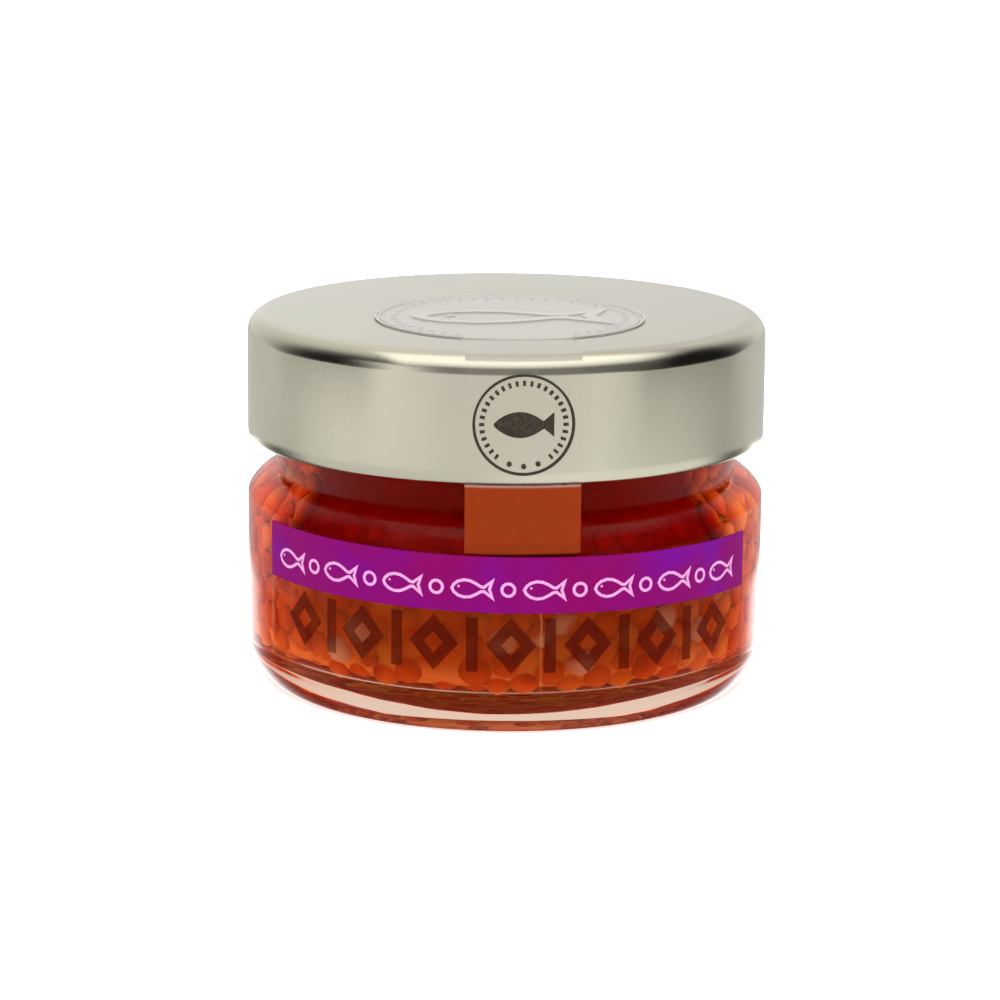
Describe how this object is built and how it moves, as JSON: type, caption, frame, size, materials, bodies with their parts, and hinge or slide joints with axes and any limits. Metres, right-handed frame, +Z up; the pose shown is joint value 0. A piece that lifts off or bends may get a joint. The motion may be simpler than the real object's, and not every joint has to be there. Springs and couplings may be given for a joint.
{
  "type": "jar of salmon roe",
  "caption": "Squat clear glass jar filled with orange salmon roe, with a deep satin metal twist-off lid, a clear label with a purple band and a film seal over the lid.",
  "frame": {"origin": "on the jar's axis, on the surface that it stands on", "axes": "+Z up through the lid; the label and the seal's tail face -Y; +X is to the viewer's right"},
  "size_m": [0.066, 0.0664, 0.0474],
  "materials": {
    "glass": "clear flint glass",
    "lid_metal": "satin, champagne silver lacquer",
    "roe": "moist and translucent",
    "purple_film": "satin print",
    "clear_film": "clear, with a dark translucent print",
    "seal_film": "frosted"
  },
  "bodies": {
    "root": {"glass_jar": "glass", "lid": "lid_metal", "roe": "roe", "label_band": "purple_film", "label_film": "clear_film", "seal": "seal_film"}
  },
  "joints": []
}
